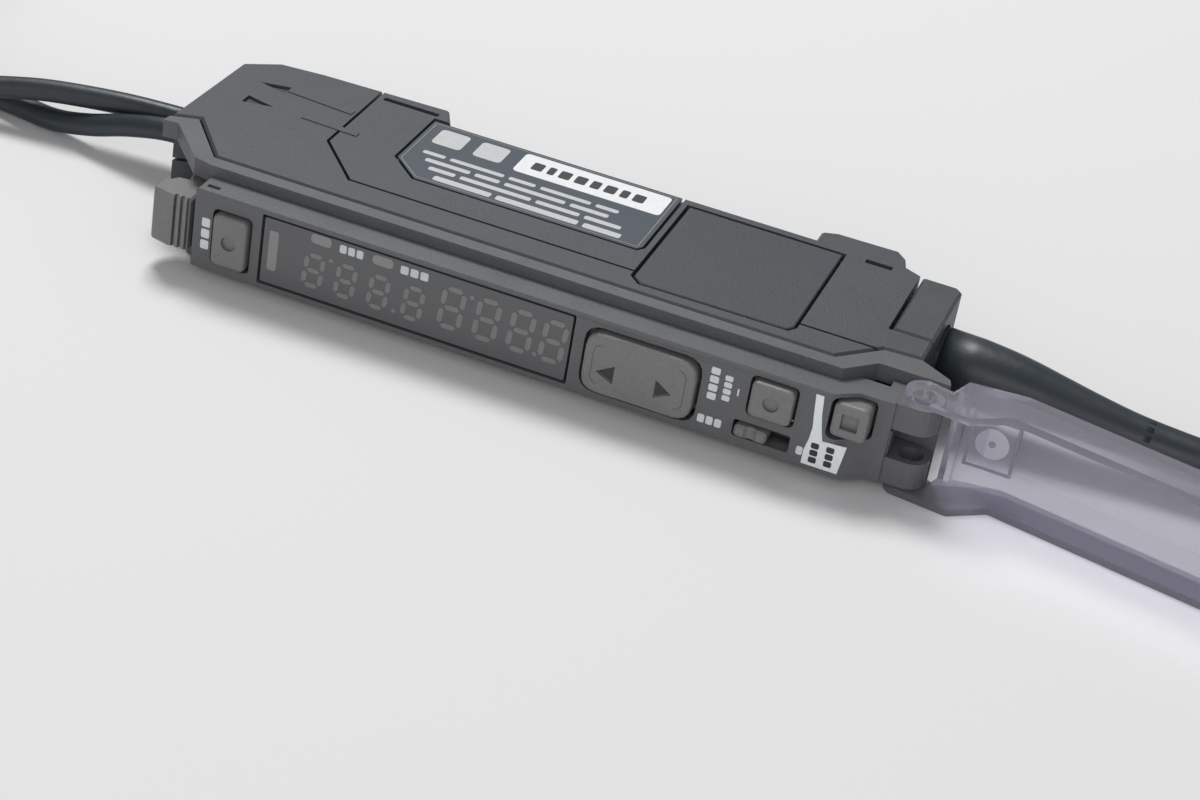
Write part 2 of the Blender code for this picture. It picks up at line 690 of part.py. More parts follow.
def build_boards(frame):
    inner_low, inner_high = WALL + FIT, THICKNESS - WALL - FIT
    display = prism("display_board", rectangle(BOARD_LEFT, BOARD_RIGHT, inner_low, inner_high), BOARD_FRONT,
                    BOARD_FRONT + BOARD_THICKNESS, "Y")
    settle(display, board_laminate(), frame)
    front = BOARD_FRONT + BOARD_THICKNESS + FIT
    left = holder_ends()[1] + FIT + SENSOR_DEPTH + SENSOR_CLEARANCE
    right = CABLE_END - CAP_LENGTH - 2 * WALL
    back = SLOT_FLOOR - WALL - FIT
    outline = [(left, front), (LEDGE_BEND - 1.5, front), (right, front + 3.2), (right, back), (left, back)]
    main = prism("main_board", outline, MIDDLE - BOARD_THICKNESS / 2, MIDDLE + BOARD_THICKNESS / 2)
    settle(main, board_laminate(), frame)


def fibre_rows():
    return FIBRE_MIDDLE + FIBRE_PITCH / 2, FIBRE_MIDDLE - FIBRE_PITCH / 2


def holder_ends():
    start = FIBRE_END + WALL + FIT + END_LEAN
    return start, start + HOLDER_LENGTH


def build_fibre_end(frame):
    """The holder that the fibres push into, with the emitter and the receiver behind it."""
    start, end = holder_ends()
    half = HOLDER_WIDTH / 2
    low, high = WALL + FIT, THICKNESS - WALL - FIT
    holder = box("fibre_holder", (start, end), (FIBRE_MIDDLE - half, FIBRE_MIDDLE + half), (low, high))
    nose = HOLDER_NOSE / 2
    fuse(holder, box("nose", (FIBRE_END + 0.15, start + 0.5), (FIBRE_MIDDLE - nose, FIBRE_MIDDLE + nose),
                     (MIDDLE - 2.4, MIDDLE + 2.4)))
    for y in fibre_rows():
        cut(holder, rod("bore", (y, MIDDLE), FIBRE_DIAMETER / 2 + 0.15, FIBRE_END - 1, end + 1, "X"))
    settle(holder, shell_plastic(), frame)
    lens = LENS_SIZE / 2
    for name, y in zip(("light_emitter", "photo_receiver"), fibre_rows()):
        front = end + FIT
        body = box(name, (front + LENS_REACH, front + SENSOR_DEPTH), (y - lens, y + lens),
                   (MIDDLE - 2, MIDDLE + 2))
        fuse(body, rod("lens", (y, MIDDLE), lens * 0.85, front, front + 2 * LENS_REACH, "X"))
        settle(body, smoked_window(), frame)


def build_lever(frame):
    """The lock lever: grooved tab outside, arm and cam boss inside, on its pin."""
    x, y = LEVER_PIVOT
    tab_right = LEVER_TIP + LEVER_TAB_LENGTH
    outline = [(LEVER_TIP, 0.55), (LEVER_TIP + 0.25, 0.15), (LEVER_TIP + 1.8, -0.25), (tab_right, -0.1),
               (tab_right, LEVER_TAB_DEPTH - 0.9), (tab_right + 0.4, y - LEVER_BOSS * 0.5),
               (x + LEVER_BOSS, y - 0.2)]
    outline += arc(LEVER_PIVOT, LEVER_BOSS, 10, 170, 10)
    outline += [(x - LEVER_BOSS, y - 0.6), (tab_right - 1.9, LEVER_TAB_DEPTH + 0.2),
                (LEVER_TIP + 1.0, LEVER_TAB_DEPTH), (LEVER_TIP + 0.1, LEVER_TAB_DEPTH - 1.3)]
    low, high = MIDDLE - LEVER_WIDTH / 2, MIDDLE + LEVER_WIDTH / 2
    lever = stack("fibre_lock_lever", outline, [(0.2, low), (0, low + 0.2), (0, high - 0.2), (0.2, high)])
    for step in range(3):
        groove = tab_right - 0.35 - step * 0.62
        cut(lever, box("groove", (groove, groove + 0.3), (-2, 0.25), (low - 1, high + 1)))
    cut(lever, rod("bore", LEVER_PIVOT, PIN_RADIUS + FIT, low - 1, high + 1))
    settle(lever, key_plastic(), frame, (x, y, MIDDLE))
    pin = rod("lever_pin", LEVER_PIVOT, PIN_RADIUS, WALL - 0.7 + FIT, THICKNESS - WALL + 0.7 - FIT)
    settle(pin, switch_metal(), frame)


def cover_side_outline():
    """A side wall of the cover with its hinge arm: x away from the hinge, y towards the roof."""
    roof = COVER_MOUTH + COVER_DEPTH
    heel = arc((0, 0), ARM_RADIUS, 100, 250, 10)
    return heel + [
        (ARM_END, -ARM_DROP), (ARM_END + 2.6, COVER_MOUTH), (COVER_LENGTH, COVER_MOUTH), (COVER_LENGTH, roof),
        (TAPER_END, roof), (TAPER_START, roof - TAPER_FALL), (TAPER_START - 0.35, ARM_RADIUS - 0.15),
    ]


def build_cover(frame):
    """The dust cover: a channel with two hinge arms, stub pivots, latch nubs and a sprue pad."""
    roof = COVER_MOUTH + COVER_DEPTH
    inner_roof = roof - COVER_FLOOR
    walls = (COVER_WALL, THICKNESS - COVER_WALL)
    open_side = -9
    heel = TAPER_START + 0.8
    cover = prism("dust_cover", cover_side_outline(), 0, THICKNESS)
    end_wall = COVER_LENGTH - COVER_WALL
    inner = [(open_side, open_side), (end_wall, open_side), (end_wall, inner_roof),
             (TAPER_END, inner_roof), (heel, inner_roof - TAPER_FALL), (heel, 2.6),
             (TAPER_START - 0.9, 2.5), (TAPER_START - 1.5, 9), (open_side, 9)]
    cut(cover, prism("inside", inner, *walls))
    cut(cover, box("far_end", (COVER_LENGTH - 2, COVER_LENGTH + 1), (open_side, HINGE[1] + FIT), walls))
    for wall, inward in zip(walls, (1, -1)):
        root = wall - inward * COVER_WALL / 2
        fuse(cover, rod("stub", (0, 0), PIVOT_RADIUS, root, wall + inward * STUB_LENGTH))
        fuse(cover, box("nub", NUB_SPAN, NUB_ROWS, (root, wall + inward * NUB_HEIGHT)))
    start, end = TAPER_START + 1.1, TAPER_START + 5.4
    pad = [(start, inner_roof - 0.95), (end, inner_roof - 0.3), (end, inner_roof + 0.2),
           (start, inner_roof - 0.5)]
    fuse(cover, prism("pad", pad, MIDDLE - PAD_WIDTH / 2, MIDDLE + PAD_WIDTH / 2))
    settle(cover, smoke_plastic(), frame)
    cover.location = Vector((HINGE[0], HINGE[1], 0)) * MM
    cover.rotation_euler.z = math.radians(COVER_OPEN_ANGLE)


def smooth_points(route, spacing):
    """Points at an even spacing on a smooth curve through the route's points."""
    route = [Vector(point) for point in route]
    padded = [2 * route[0] - route[1]] + route + [2 * route[-1] - route[-2]]
    fine = []
    for a, b, c, d in zip(padded, padded[1:], padded[2:], padded[3:]):
        for k in range(20):
            t = k / 20
            fine.append(0.5 * (2 * b + (c - a) * t + (2 * a - 5 * b + 4 * c - d) * t ** 2
                               + (3 * b - a - 3 * c + d) * t ** 3))
    fine.append(route[-1])
    points, walked = [fine[0]], 0.0
    for before, after in zip(fine, fine[1:]):
        walked += (after - before).length
        if walked >= spacing:
            points.append(after)
            walked = 0.0
    if len(points) > 1:
        points.pop()
    return points + [fine[-1]]


def tube(name, route, diameter, look, frame):
    """A plain round cord along a route, as a curve with filled caps."""
    curve = bpy.data.curves.new(name, "CURVE")
    curve.dimensions = "3D"
    curve.bevel_depth = diameter / 2 * MM
    curve.bevel_resolution = 3 if diameter > 4 else 2
    curve.use_fill_caps = True
    points = smooth_points(route, diameter * 2.2)
    spline = curve.splines.new("POLY")
    spline.points.add(len(points) - 1)
    for slot, point in zip(spline.points, points):
        slot.co = (*(point * MM), 1.0)
    curve.materials.append(look)
    made = bpy.data.objects.new(name, curve)
    bpy.context.scene.collection.objects.link(made)
    made.parent = frame


def racetrack(low, high, y, radius):
    """A long outline with round ends about two fold centres."""
    return arc((high, y), radius, -90, 90, 14) + arc((low, y), radius, 90, 270, 14)


def hank_radii(diameter):
    """Inner and outer radius of a hank at its folds."""
    inner = (HANK_FOLD - 0.5) * diameter
    return inner, inner + HANK_LANES * diameter


def hank(name, span, y, diameter, rows, frame):
    """The outer shape of a cord folded into a hank: an oval ring with soft edges."""
    inner, outer = hank_radii(diameter)
    soft = diameter * HANK_EDGE
    top = HANK_BASE + rows * diameter
    made = stack(name, racetrack(*span, y, outer), [
        (soft, HANK_BASE), (0, HANK_BASE + soft), (0, top - soft), (soft, top)])
    cut(made, prism("hole", racetrack(*span, y, inner), HANK_BASE - 1, top + 1))
    settle(made, cord_jacket(), frame)


def tie(name, span, y, diameter, rows, frame):
    """A strap round the middle of a hank. The hank lies on it."""
    reach = hank_radii(diameter)[1] + FIT
    top = HANK_BASE + rows * diameter + FIT
    inner = rounded(rectangle(y - reach, y + reach, TIE_THICKNESS, top), diameter * TIE_CORNER, 2)
    middle = sum(span) / 2
    low, high = middle - TIE_WIDTH / 2, middle + TIE_WIDTH / 2
    strap = prism(name, inset(inner, -TIE_THICKNESS), low, high, "X")
    cut(strap, prism("inside", inner, low - 1, high + 1, "X"))
    settle(strap, key_plastic(), frame)


# Along from the cable end, aside from the gland's axis, and height
CABLE_LAY = ((3.6, 0.0, MIDDLE), (7.6, 0.0, 4.75), (13.6, -0.1, 4.2), (19.6, -0.1, 3.6), (25.6, 0.0, 3.2),
             (33.6, 1.1, 2.5), (41.6, 3.2, 2.2), (49.6, 6.0, 2.2), (57.6, 8.8, 2.5), (66.8, 10.85, 3.0))


def build_power_cable(frame):
    """The cable's run, its hank and strap, and the bared end with its four cores in the hank's hole."""
    route = [(CABLE_END + along, CABLE_Y + aside, level) for along, aside, level in CABLE_LAY]
    tube("power_cable", route, CABLE_DIAMETER, cord_jacket(), frame)
    near, y = CABLE_HANK
    hank_facts = ((near, near + CABLE_HANK_RUN), y, CABLE_DIAMETER, CABLE_HANK_ROWS, frame)
    hank("power_cable_coil", *hank_facts)
    tie("power_cable_tie", *hank_facts)
    start, end = near + CABLE_TAIL[0], near + CABLE_TAIL[1]
    axis = y + CABLE_TAIL_ASIDE
    level = HANK_BASE + CABLE_DIAMETER / 2
    tube("power_cable_end", [(start, axis, level), ((start + end) / 2, axis, level), (end, axis, level)],
         CABLE_DIAMETER, cord_jacket(), frame)
    apart = CORE_DIAMETER / 2 + CORE_SPARE
    for number, ((aside, above), fan) in enumerate(zip(CORE_PLACES, CORE_FAN), 1):
        y, z = axis + aside * apart, level + above * apart
        route = [(end + FIT, y, z), (end + CORE_LENGTH * 0.25, y + fan * 0.3, z - 0.3),
                 (end + CORE_LENGTH * 0.6, y + fan * 0.9, 1.2 + above * 0.3),
                 (end + CORE_LENGTH, y + fan * 1.7, 0.7)]
        tube(f"core_{number}", route, CORE_DIAMETER, cord_jacket(), frame)


FIBRE_ROUTES = (
    [(FIBRE_END - 0.15, 17.8, MIDDLE), (-11.0, 17.8, 4.85), (-16.0, 17.5, 4.7), (-21.0, 16.9, 4.4),
     (-25.0, 16.3, 4.0), (-30.0, 15.2, 3.2), (-36.0, 13.4, 2.4), (-42.8, 11.85, 2.0)],
    [(FIBRE_END - 0.15, 15.2, MIDDLE), (-11.0, 15.2, 4.7), (-15.0, 15.5, 3.7), (-19.0, 15.9, 2.3),
     (-23.0, 16.4, 1.35), (-27.0, 17.1, 1.2), (-32.0, 17.5, 1.3), (-37.0, 16.9, 1.6), (-42.4, 16.2, 1.95)],
)


def build_fibre(number, route, way, frame):
    """One plastic fibre: the run, its hank and strap, and the threaded head in the hank's hole."""
    tube(f"fibre_{number}", route, FIBRE_DIAMETER, cord_jacket(), frame)
    apart = 2 * (hank_radii(FIBRE_DIAMETER)[1] + HANK_BASE) + FIT
    y = FIBRE_HANK_MIDDLE + way * apart / 2
    hank_facts = ((FIBRE_HANK_X - FIBRE_HANK_RUN, FIBRE_HANK_X), y, FIBRE_DIAMETER, FIBRE_HANK_ROWS, frame)
    hank(f"fibre_{number}_coil", *hank_facts)
    tie(f"fibre_{number}_tie", *hank_facts)
    start = FIBRE_HANK_X - HEAD_START
    axis = (y - way * HEAD_ASIDE, NUT_RADIUS)
    head = rod(f"fibre_{number}_head", axis, HEAD_RADIUS, start - HEAD_LENGTH, start, "X", 20)
    nut_start = start - HEAD_LENGTH * NUT_PLACE
    fuse(head, rod("nut", axis, NUT_RADIUS, nut_start - NUT_LENGTH, nut_start, "X", 6))
    settle(head, switch_metal(), frame)


def build():
    clear_scene()
    frame = bpy.data.objects.new("amplifier_origin", None)
    bpy.context.scene.collection.objects.link(frame)
    frame.location = Vector((-ORIGIN[0], -ORIGIN[1], 0)) * MM
    build_cases(frame)
    build_label_side(frame)
    build_cable_end(frame)
    build_panel(frame)
    build_display(frame)
    build_keys(frame)
    build_rocker(frame)
    build_slide_switch(frame)
    build_boards(frame)
    build_fibre_end(frame)
    build_lever(frame)
    build_cover(frame)
    build_power_cable(frame)
    for number, (route, way) in enumerate(zip(FIBRE_ROUTES, (-1, 1)), 1):
        build_fibre(number, route, way, frame)


build()
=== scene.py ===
"""Looks of the fibre optic sensor amplifier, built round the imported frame.

Sizes are millimetres in the amplifier's own frame, as in the part's source: X along the panel from the
fibre end, Y from the panel face to the DIN-rail side, Z through the thickness.
"""
import math

import bmesh
import bpy
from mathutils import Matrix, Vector

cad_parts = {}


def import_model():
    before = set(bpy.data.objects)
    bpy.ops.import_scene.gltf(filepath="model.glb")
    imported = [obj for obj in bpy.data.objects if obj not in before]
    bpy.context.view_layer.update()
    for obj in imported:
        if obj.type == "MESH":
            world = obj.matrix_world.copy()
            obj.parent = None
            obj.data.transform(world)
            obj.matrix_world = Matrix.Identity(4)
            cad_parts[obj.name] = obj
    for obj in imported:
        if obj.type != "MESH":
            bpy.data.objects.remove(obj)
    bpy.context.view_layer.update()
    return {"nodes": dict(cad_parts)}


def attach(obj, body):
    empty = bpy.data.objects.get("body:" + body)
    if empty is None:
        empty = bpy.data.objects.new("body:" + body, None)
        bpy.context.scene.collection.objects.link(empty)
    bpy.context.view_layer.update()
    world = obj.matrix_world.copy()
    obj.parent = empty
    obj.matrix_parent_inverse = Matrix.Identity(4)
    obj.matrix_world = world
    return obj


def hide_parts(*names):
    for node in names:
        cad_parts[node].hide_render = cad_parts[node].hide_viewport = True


MM = 0.001
ORIGIN = (32.25, 15.0)
THICKNESS = 9.8
PRINT = 0.03
PRINT_STEP = 0.01
LINE_WIDTH = 0.1

# Camera of the photograph, in metres and degrees
CAMERA_PLACE = (0.0612, -0.21373, 0.12803)
CAMERA_TURN = (57.943, -8.695, 20.623)
CAMERA_LENS = 84.585
FILM_WIDTH = 36.0

# Lamps, aimed at the origin: place and side in metres, and power in watts
LAMPS = {"key_light": ((-0.25, 0.35, 0.75), 0.3, 5.6), "fill_light": ((0.1, -0.7, 0.35), 0.6, 2.1)}
SKY_COLOUR = (0.97, 0.98, 1.0)
SKY_STRENGTH = 0.28
FLOOR_SIDE_M = 4.0
PAPER = (0.77, 0.768, 0.77)

# Edges of the nodes: radius in millimetres, and in degrees what is merged as flat, bevelled and split
EDGE_RADIUS = 0.1
FLAT_ANGLE, BEVEL_ANGLE, SPLIT_ANGLE = 0.5, 12, 8

# Power cable: its route, and the hank that it is folded into
CABLE_DIAMETER = 4.2
CABLE_ROUTE = ((68.0, 17.4, 4.9), (72.0, 17.4, 4.75), (78.0, 17.3, 4.2), (84.0, 17.3, 3.6),
               (90.0, 17.4, 3.2), (98.0, 18.5, 2.5), (106.0, 20.6, 2.2), (114.0, 23.4, 2.2),
               (122.0, 26.2, 2.5), (131.2, 28.25, 3.0), (138.5, 29.4, 3.0))
CABLE_HANK = (145.9, 12.9)
CABLE_HANK_RUN = 9 * CABLE_DIAMETER
CABLE_HANK_ROWS = 6
CABLE_TAIL = ((5.0, 11.9), (10.0, 10.3), (15.0, 8.7), (20.0, 8.0), (27.0, 8.0))

# Cores at the cable's end: how they lie in it, how they sink, and their way out as shares of length and fan
CORE_DIAMETER = 1.1
CORE_APART = CORE_DIAMETER / 2 + 0.2
CORE_LENGTH = 17.0
CORE_HELD = 0.4
CORE_SAG, CORE_LOW, CORE_END = 0.3, 1.2, 0.7
CORE_WAY = ((0.25, 0.3), (0.6, 0.9), (1.0, 1.7))
CORE_PLACES = ((-1, -1), (1, -1), (-1, 1), (1, 1))
CORE_FAN = (-5.2, -2.2, -3.7, -0.6)
CORE_COLOURS = ((0.16, 0.06, 0.03), (0.02, 0.02, 0.022), (0.02, 0.06, 0.3), (0.6, 0.6, 0.58))

# Tapered sleeve on the cable: its start, the points of the smoothed route that it follows, and its radii
SLEEVE_START = (64.7, 17.4, 4.9)
SLEEVE_SPOTS = 25
SLEEVE_RADII = (3.3, 2.08)
SLEEVE_SIDES = 28

# Fibres: their routes and hanks
FIBRE_DIAMETER = 2.2
FIBRE_ROUTES = (
    [(-7.65, 17.8, 4.9), (-11.0, 17.8, 4.85), (-16.0, 17.5, 4.7), (-21.0, 16.9, 4.4), (-25.0, 16.3, 4.0),
     (-30.0, 15.2, 3.2), (-36.0, 13.4, 2.4), (-42.8, 11.85, 2.0)],
    [(-7.65, 15.2, 4.9), (-11.0, 15.2, 4.7), (-15.0, 15.5, 3.7), (-19.0, 15.9, 2.3), (-23.0, 16.4, 1.35),
     (-27.0, 17.1, 1.2), (-32.0, 17.5, 1.3), (-37.0, 16.9, 1.6), (-42.4, 16.2, 1.95)],
)
FIBRE_HANKS = ((-49.9, 2.85), (-49.9, 24.75))
FIBRE_SIDES = (1, -1)
FIBRE_HANK_RUN = 12 * FIBRE_DIAMETER
FIBRE_HANK_ROWS = 5
FIBRE_TAIL = ((3.25, 5.87, 2.2), (6.5, 4.1, 2.7), (9.75, 2.33, 3.2), (13.0, 1.6, 3.4), (14.6, 1.6, 3.4))

# Hanks: height above the floor, lanes in cord diameters from the middle, and the shares of a turn over
# which a cord changes place, then the steps along a straight and round a fold
HANK_BASE = 0.9
OUTER_LANE, INNER_LANE = 4, 3
RISE, CROSSING, FALL = (0.68, 0.88), (0.45, 0.62), (0.2, 0.4)
STRAIGHT_STEPS, FOLD_STEPS = 3, 10

# Display, seen from the front: X along it and Z up it
WINDOW_FACE = 0.08
INDICATOR = (7.3, 8.2, 3.1, 7.05)
SMALL_LAMPS = ((12.2, 7.6), (18.1, 7.5))
LAMP_HALF_X, LAMP_HALF_Z = 1.0, 0.475
SMALL_DIGITS = (11.75, 14.85, 18.0, 21.3)
LARGE_DIGITS = (24.9, 28.2, 31.4, 34.4)
SMALL_SHAPE = {"level": 4.4, "width": 1.55, "height": 3.0, "stroke": 0.46}
LARGE_SHAPE = {"level": 5.15, "width": 1.8, "height": 3.75, "stroke": 0.5}
DIGIT_LEAN = 0.08
BAR_GAP = 0.35
BARS = {"top": (0.5, 1.0, "flat"), "middle": (0.5, 0.5, "flat"), "bottom": (0.5, 0.0, "flat"),
        "left_high": (0.0, 0.75, "tall"), "left_low": (0.0, 0.25, "tall"),
        "right_high": (1.0, 0.75, "tall"), "right_low": (1.0, 0.25, "tall")}
POINTS = ((13.3, 5.95), (19.6, 3.1), (26.6, 6.85), (32.9, 3.4))
POINT_HALF = 0.2

# Rows of print: left, right, low, high, number of blocks, and the way that the row runs
WINDOW_PRINT = ((13.9, 16.3, 7.05, 7.85, 3, "X"), (19.7, 22.5, 6.95, 7.75, 3, "X"))
PANEL_PRINT = ((0.8, 1.6, 3.0, 6.3, 3, "Z"), (48.5, 49.3, 4.6, 7.9, 4, "Z"), (49.8, 50.5, 4.9, 7.5, 4, "Z"),
               (48.0, 50.3, 2.2, 3.0, 3, "X"), (56.9, 57.6, 2.2, 3.0, 1, "X"))
FLAG_PRINT = ((58.15, 58.85, 1.75, 3.85, 3, "Z"), (59.5, 60.2, 1.8, 3.9, 3, "Z"))
PANEL_TICK = (51.05, 51.2, 5.8, 6.5)
FLAG = ((57.6, 1.5), (60.8, 1.5), (61.15, 4.3), (59.0, 4.15), (58.75, 5.2), (58.5, 6.6), (58.35, 8.4),
        (57.65, 8.4), (57.8, 6.6), (57.95, 5.2), (57.85, 4.0), (57.6, 2.8))

# Rocker: its middle and face, the tip and way of each arrow, the floor of one, where shade is painted, and
# the painted shadow line round one end
ROCKER_MIDDLE = (42.45, 4.85)
ROCKER_FACE = -0.6
ROCKER_ARROWS = ((38.7, 1), (45.6, -1))
ROCKER_ARROW = ((0.15, -0.7), (1.55, -1.45), (1.55, 0.05))
ROCKER_FLOOR = (0.27, 0.31)
ROCKER_LINE = ((3.5, -1.95), (3.95, -1.8), (4.2, -1.4), (4.2, 1.3), (3.95, 1.75), (3.5, 1.9))

# Label side, seen from above: X along it and Y towards the rail. A row of dashes has its left, low and
# high sides and the length of each dash, and the row on the white field its own gap
LABEL_FIELD = (22.3, 36.7, 18.6, 22.5)
FIELD_ROW = (23.6, 19.8, 21.3, (1.1, 0.7, 1.1, 1.1, 0.9, 1.1, 0.8, 1.1), 0.45)
LABEL_ROWS = ((17.0, 12.4, 13.25, (5.6, 7.9, 3.6)), (15.9, 13.95, 14.6, (2.6, 6.9, 4.2, 3.5)),
              (15.0, 15.3, 15.95, (4.4, 2.4, 5.9, 3.7)), (14.2, 16.65, 17.25, (2.2, 5.3, 2.6, 4.9, 2.2)))
LABEL_SQUARES = ((14.0, 16.9, 19.0, 22.1), (18.1, 20.9, 19.0, 22.1))
LABEL_EDGE = ((15.6, 12.05), (37.0, 12.05), (37.0, 22.8), (13.05, 22.8), (13.05, 14.55), (15.6, 12.05))
FIBRE_STRIPS = (((-1.0, 20.0), (5.8, 19.4), (5.8, 20.3), (-1.0, 20.6)),
                ((2.3, 16.0), (8.0, 15.7), (8.0, 16.5), (2.3, 16.7)))
STRIP_HEIGHT = 0.09
# Sunk arrows on the top, whose floors get painted shade: tip, Y and way; the arrowhead; and the depths of
# the shade plate
SUNK_ARROWS = ((-4.0, 20.3, 1), (-0.7, 16.4, -1))
SUNK_ARROW = ((0.2, 0.0), (2.8, -0.66), (2.8, 0.66))
SUNK_FLOOR = (0.32, 0.27)

# Ribs between the hinge lugs: where each starts in Y, its width, its span in Z and its two faces in X
HINGE_RIBS = (1.9, 2.55, 3.2)
RIB_WIDTH = 0.35
RIB_SPAN = (3.75, 6.05)
RIB_FACES = (64.05, 64.25)

# Dust cover: its hinge, how far it is open, and the pad in it, from the hinge outwards
HINGE = (66.0, 3.55)
COVER_OPEN_ANGLE = -10.55
PAD_START = 3.25
PAD_FACE = 3.89
PAD_SLOPE = 0.151
GATE_MIDDLE = (5.4, 5.0)
GATE_RADIUS = 1.45
GATE_MARK_SHARE = 0.22
GATE_SIDES = 32
PAD_RIM = ((3.3, 3.55, 2.35, 7.45), (7.3, 7.55, 2.35, 7.45), (3.55, 7.3, 2.35, 2.6), (3.55, 7.3, 7.2, 7.45))
DISC_LEVELS, MARK_LEVELS, RIM_LEVELS = (-0.02, 0.1), (0.09, 0.13), (-0.02, 0.12)

# The look of every node of the frame that no cord replaces
NODE_LOOKS = {
    "housing": ("front_case_upper", "front_case_lower", "rear_case_upper", "rear_case_lower",
                "cable_end_cap", "fibre_holder"),
    "plate": ("side_cover_plate",),
    "panel": ("panel_frame",),
    "window": ("display_window",),
    "dark": ("display_module", "light_emitter", "photo_receiver"),
    "board": ("display_board", "main_board"),
    "key": ("set_button", "mode_button", "preset_button", "rocker_button", "slide_switch_knob",
            "fibre_lock_lever"),
    "steel": ("set_switch", "mode_switch", "preset_switch", "rocker_switch_left",
              "rocker_switch_right", "slide_switch", "lever_pin", "fibre_1_head", "fibre_2_head"),
    "tie": ("power_cable_tie", "fibre_1_tie", "fibre_2_tie"),
    "label": ("rating_label",),
    "cover": ("dust_cover",),
    "jacket": ("cable_gland",),
}


def world(x, y, z):
    """World coordinates, in metres, of a point given in the amplifier's own frame."""
    return Vector((x - ORIGIN[0], y - ORIGIN[1], z)) * MM


def on_pad(along, z, level):
    """A point over the cover's pad, at a level above the pad's slanted face."""
    inwards = PAD_FACE + PAD_SLOPE * (along - PAD_START) - level
    turn = math.radians(COVER_OPEN_ANGLE)
    return world(HINGE[0] + along * math.cos(turn) - inwards * math.sin(turn),
                 HINGE[1] + along * math.sin(turn) + inwards * math.cos(turn), z)


def place(u, v, level, axis):
    """A point of an outline that is drawn across an axis, or over the cover's pad."""
    if axis == "Z":
        return world(u, v, level)
    if axis == "Y":
        return world(u, level, v)
    if axis == "X":
        return world(level, u, v)
    return on_pad(u, v, level)


def rectangle(left, right, low, high):
    return [(left, low), (right, low), (right, high), (left, high)]


def rounded(outline, radius, steps=4):
    """The outline with its corners rounded, by less where its sides are too short for the radius."""
    points = []
    for i, corner in enumerate(outline):
        corner = Vector(corner)
        before = Vector(outline[i - 1]) - corner
        after = Vector(outline[(i + 1) % len(outline)]) - corner
        reach = min(radius / math.tan(before.angle(after) / 2), before.length * 0.49, after.length * 0.49)
        start, end = corner + before.normalized() * reach, corner + after.normalized() * reach
        for k in range(steps + 1):
            t = k / steps
            point = start * (1 - t) ** 2 + corner * (2 * t * (1 - t)) + end * t ** 2
            points.append((point.x, point.y))
    return points


def circle(radius, sides, middle=(0.0, 0.0)):
    """The corners of a many-sided outline round a middle."""
    turns = [2 * math.pi * k / sides for k in range(sides)]
    return [(middle[0] + radius * math.cos(turn), middle[1] + radius * math.sin(turn)) for turn in turns]


def thin_line(points, width):
    """Outlines of a thin line through points, one for each piece of it."""
    outlines = []
    for start, end in zip(points, points[1:]):
        start, end = Vector(start), Vector(end)
        side = (end - start).orthogonal().normalized() * width / 2
        outlines.append([tuple(point) for point in (start - side, end - side, end + side, start + side)])
    return outlines


def blocks(left, right, low, high, count, along):
    """A row of small rounded blocks that stands where the object has print."""
    outlines = []
    for k in range(count):
        start, end = (k + 0.1) / count, (k + 0.9) / count
        if along == "X":
            box = (left + (right - left) * start, left + (right - left) * end, low, high)
        else:
            box = (left, right, low + (high - low) * start, low + (high - low) * end)
        outlines.append(rounded(rectangle(*box), 0.15, 2))
    return outlines


def block_rows(rows):
    return [outline for row in rows for outline in blocks(*row)]


def dashes(left, low, high, lengths, gap=0.5):
    """A line of plain dashes, each of its own length."""
    outlines = []
    for length in lengths:
        outlines.append(rounded(rectangle(left, left + length, low, high), 0.2, 2))
        left += length + gap
    return outlines


def mesh_piece(name, bm, look, body):
    """A piece made from a finished bmesh, which rides on a body."""
    bmesh.ops.recalc_face_normals(bm, faces=bm.faces)
    mesh = bpy.data.meshes.new(name)
    bm.to_mesh(mesh)
    bm.free()
    made = bpy.data.objects.new(name, mesh)
    bpy.context.scene.collection.objects.link(made)
    mesh.materials.append(look)
    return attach(made, body)


def add_loft(bm, loops, smooth=False):
    """Walls from each loop of corners to the next, with both ends closed."""
    for lower, upper in zip(loops, loops[1:]):
        for i in range(len(lower)):
            j = (i + 1) % len(lower)
            bm.faces.new((lower[i], lower[j], upper[j], upper[i])).smooth = smooth
    bm.faces.new(list(reversed(loops[0])))
    bm.faces.new(loops[-1])


def plates(name, outlines, low, high, axis, look, body="housing"):
    """One piece made of thin plates, for print and small relief."""
    bm = bmesh.new()
    for outline in outlines:
        add_loft(bm, [[bm.verts.new(place(u, v, level, axis)) for u, v in outline] for level in (low, high)])
    return mesh_piece(name, bm, look, body)


def principled(name, colour, roughness, metallic=0.0):
    made = bpy.data.materials.new(name)
    made.use_nodes = True
    shader = made.node_tree.nodes["Principled BSDF"]
    shader.inputs["Base Color"].default_value = (*colour, 1.0)
    shader.inputs["Roughness"].default_value = roughness
    shader.inputs["Metallic"].default_value = metallic
    return made, made.node_tree, shader


def noise(tree, scale):
    where = tree.nodes.new("ShaderNodeTexCoord")
    made = tree.nodes.new("ShaderNodeTexNoise")
    made.inputs["Scale"].default_value = scale
    made.inputs["Detail"].default_value = 3.0
    tree.links.new(where.outputs["Object"], made.inputs["Vector"])
    return made.outputs["Fac"]


def spread(tree, value, low, high):
    """Maps a noise value to a range."""
    made = tree.nodes.new("ShaderNodeMapRange")
    made.inputs["From Min"].default_value = 0.3
    made.inputs["From Max"].default_value = 0.7
    made.inputs["To Min"].default_value = low
    made.inputs["To Max"].default_value = high
    tree.links.new(value, made.inputs["Value"])
    return made.outputs["Result"]


def uneven_gloss(tree, shader, scale, low, high):
    """Roughness that shifts over the surface between two values."""
    tree.links.new(spread(tree, noise(tree, scale), low, high), shader.inputs["Roughness"])


def grain(tree, shader, scale, depth):
    """A fine moulded texture."""
    bump = tree.nodes.new("ShaderNodeBump")
    bump.inputs["Strength"].default_value = 0.8
    bump.inputs["Distance"].default_value = depth * MM
    tree.links.new(noise(tree, scale), bump.inputs["Height"])
    tree.links.new(bump.outputs["Normal"], shader.inputs["Normal"])


